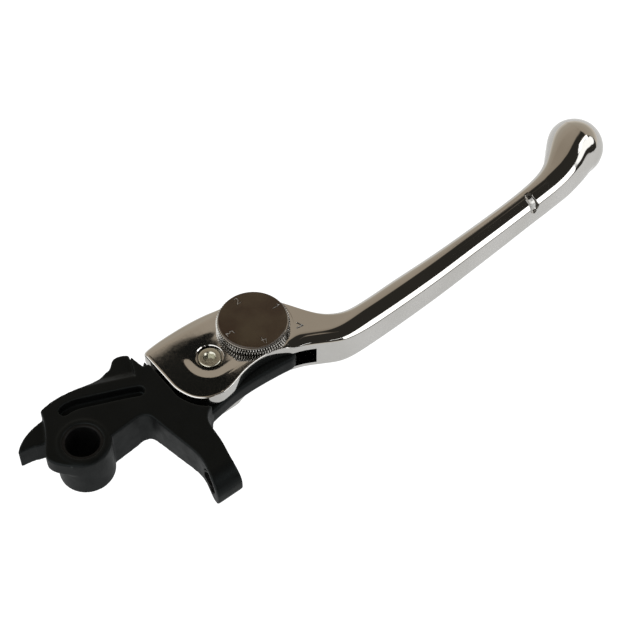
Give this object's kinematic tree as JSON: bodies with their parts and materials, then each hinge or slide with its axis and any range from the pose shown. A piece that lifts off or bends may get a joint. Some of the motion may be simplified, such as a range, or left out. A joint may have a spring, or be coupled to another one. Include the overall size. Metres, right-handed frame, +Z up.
{
  "type": "clutch lever",
  "caption": "Motorcycle clutch lever: chrome ball-ended blade hinged on a black cast arm with pivot bore and pushrod fork, span set by a knurled knob and cam.",
  "frame": {"origin": "axis of the main pivot bore, level with the middle of the blade's height", "axes": "+X from the pivot towards the ball end, +Y away from the handlebar, +Z up along the pivot axis (knob side)"},
  "size_m": [0.2167, 0.0551, 0.0197],
  "materials": {
    "black_casting": "satin black anodised or powder-coated cast aluminium",
    "chrome": "polished chrome",
    "brown_anodised": "glossy dark brown",
    "dark_steel": "dark dry-lubricated sleeve",
    "steel": "ground",
    "zinc_steel": "zinc plated, slightly warm",
    "spring_steel": "plain",
    "bronze": "sintered bronze",
    "seal_rubber": "matt"
  },
  "bodies": {
    "arm": {"actuator_arm": "black_casting", "pivot_bush": "dark_steel", "pushrod_bush": "dark_steel", "hinge_bush": "bronze", "hinge_shims": "steel", "cam_wear_pad": "steel", "pad_pins": "steel", "return_spring": "spring_steel"},
    "blade": {"lever_blade": "chrome", "hinge_screw": "zinc_steel", "hinge_nut": "zinc_steel", "shaft_bush_upper": "bronze", "shaft_bush_lower": "bronze", "knob_seal": "seal_rubber", "detent_spring": "spring_steel"},
    "adjuster": {"adjuster_knob": "chrome", "knob_cap": "brown_anodised", "adjuster_shaft": "steel", "knob_screw": "zinc_steel", "span_cam": "steel", "cam_pin": "steel", "shaft_washer": "steel", "shaft_clip": "spring_steel"},
    "detent": {"detent_ball": "steel"}
  },
  "joints": [
    {"name": "blade_hinge", "type": "hinge", "parent": "arm", "child": "blade", "pos_m": [0.0454, 0.0013, 0], "axis": [0, 0, 1], "range_deg": [-4.5, 0], "deforming": ["return_spring"]},
    {"name": "knob_turn", "type": "hinge", "parent": "blade", "child": "adjuster", "pos_m": [0.0619, 0.002, 0], "axis": [0, 0, 1], "range_deg": [0, 270]},
    {"name": "detent_slide", "type": "slide", "parent": "blade", "child": "detent", "axis": [0, 0, 1], "range_m": [0, 0.0005], "deforming": ["detent_spring"]}
  ],
  "couplings": [
    {"joint": "blade_hinge", "follows": "knob_turn", "ratio": -0.016667}
  ]
}
